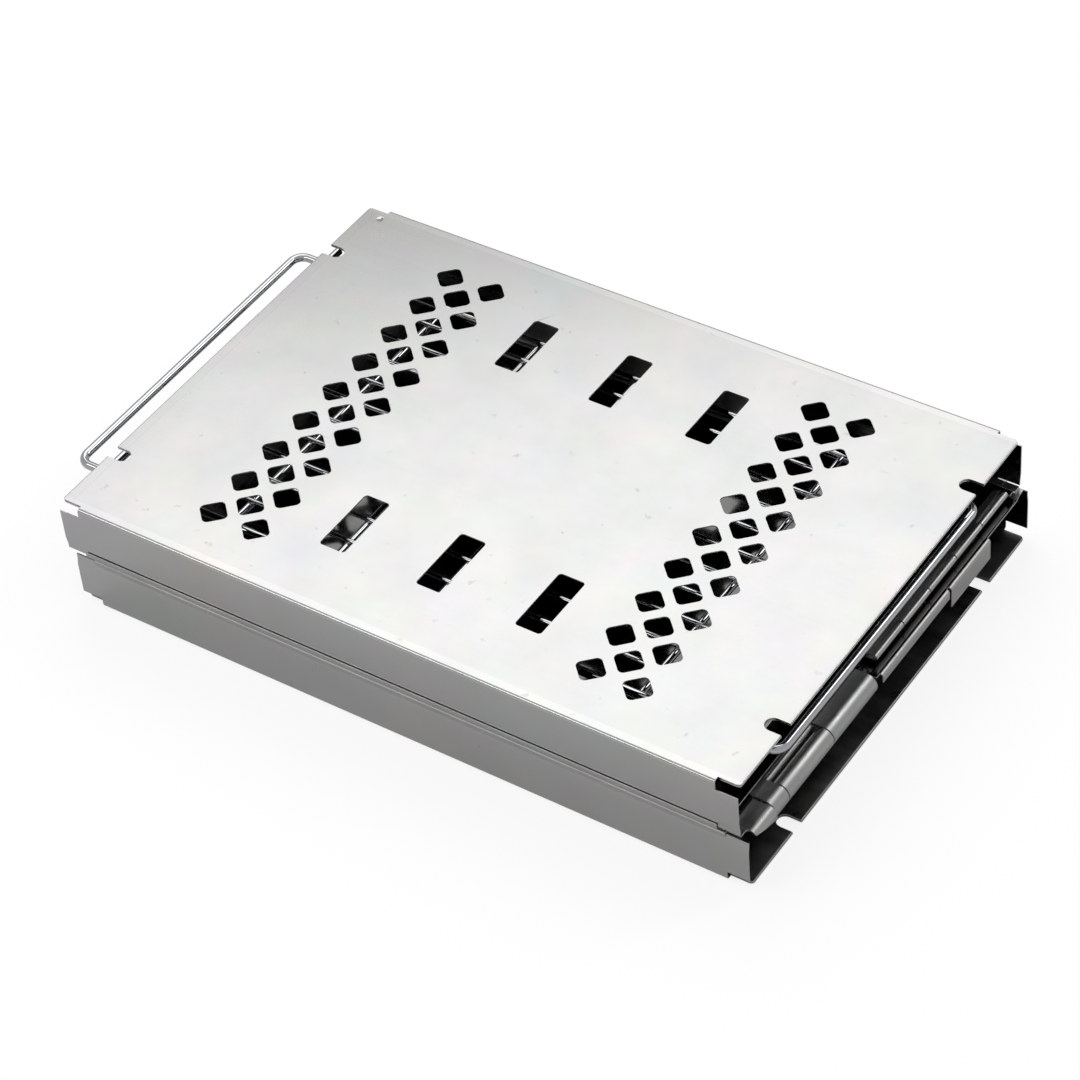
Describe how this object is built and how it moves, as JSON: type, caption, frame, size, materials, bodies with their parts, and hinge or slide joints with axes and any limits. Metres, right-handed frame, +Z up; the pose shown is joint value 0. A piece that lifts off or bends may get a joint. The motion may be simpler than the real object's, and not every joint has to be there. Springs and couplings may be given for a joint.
{
  "type": "folding camping wood stove",
  "caption": "Folding camping wood stove, folded flat: two perforated double-skin steel halves joined by folding end walls, with a wire cooking grate, fire grate and ash tray stored inside.",
  "frame": {"origin": "centre of the underside of the lower outer shell, the face that the folded stove rests on", "axes": "+X along the long side, towards the end where the wide hinge barrels show; +Y from the front long side to the back one; +Z up through the folded stack"},
  "size_m": [0.4535, 0.2962, 0.07],
  "materials": {
    "shell_steel": "satin, lightly mottled stainless sheet",
    "panel_steel": "smooth bright stainless sheet",
    "end_wall_steel": "smooth stainless sheet",
    "pin_steel": "drawn stainless wire and tube",
    "chrome_wire": "bright plated round wire",
    "tray_steel": "plain stainless sheet"
  },
  "bodies": {
    "lower_half": {"lower_outer_shell": "shell_steel", "lower_inner_panel": "panel_steel", "lower_back_runner": "panel_steel", "lower_front_runner": "panel_steel", "right_lower_hinge_tube": "pin_steel", "left_lower_hinge_pin": "pin_steel"},
    "left_lower_wall": {"left_lower_end_wall": "end_wall_steel", "left_fold_pin": "pin_steel"},
    "left_upper_wall": {"left_upper_end_wall": "end_wall_steel"},
    "upper_half": {"upper_outer_shell": "shell_steel", "upper_inner_panel": "panel_steel", "upper_back_runner": "panel_steel", "upper_front_runner": "panel_steel", "left_upper_hinge_tube": "pin_steel", "right_upper_hinge_pin": "pin_steel"},
    "right_lower_wall": {"right_lower_end_wall": "end_wall_steel", "right_fold_pin": "pin_steel"},
    "right_upper_wall": {"right_upper_end_wall": "end_wall_steel"},
    "grate": {"cooking_grate": "chrome_wire"},
    "tray": {"ash_tray": "tray_steel"},
    "fire_grate_plate": {"fire_grate": "tray_steel"}
  },
  "joints": [
    {"name": "left_lower_hinge", "type": "hinge", "parent": "lower_half", "child": "left_lower_wall", "pos_m": [-0.2101, 0, 0.032], "axis": [0, -1, 0], "range_deg": [0, 90]},
    {"name": "left_fold_hinge", "type": "hinge", "parent": "left_lower_wall", "child": "left_upper_wall", "pos_m": [-0.1101, 0, 0.035], "axis": [0, -1, 0], "range_deg": [-180, 0]},
    {"name": "left_upper_hinge", "type": "hinge", "parent": "left_upper_wall", "child": "upper_half", "pos_m": [-0.2101, 0, 0.0427], "axis": [0, -1, 0], "range_deg": [0, 90]},
    {"name": "right_lower_hinge", "type": "hinge", "parent": "lower_half", "child": "right_lower_wall", "pos_m": [0.2054, 0, 0.0273], "axis": [0, 1, 0], "range_deg": [0, 90]},
    {"name": "right_fold_hinge", "type": "hinge", "parent": "right_lower_wall", "child": "right_upper_wall", "pos_m": [0.1054, 0, 0.035], "axis": [0, 1, 0], "range_deg": [-180, 0]},
    {"name": "grate_slide", "type": "slide", "parent": "upper_half", "child": "grate", "axis": [-1, 0, 0], "range_m": [0, 0.28]},
    {"name": "tray_slide", "type": "slide", "parent": "lower_half", "child": "tray", "axis": [1, 0, 0], "range_m": [0, 0.25]},
    {"name": "fire_grate_lift", "type": "slide", "parent": "tray", "child": "fire_grate_plate", "axis": [0, 0, 1], "range_m": [0, 0.005]}
  ],
  "couplings": [
    {"joint": "left_fold_hinge", "follows": "left_lower_hinge", "ratio": -2},
    {"joint": "left_upper_hinge", "follows": "left_lower_hinge", "ratio": 1},
    {"joint": "right_lower_hinge", "follows": "left_lower_hinge", "ratio": 1},
    {"joint": "right_fold_hinge", "follows": "left_lower_hinge", "ratio": -2}
  ]
}
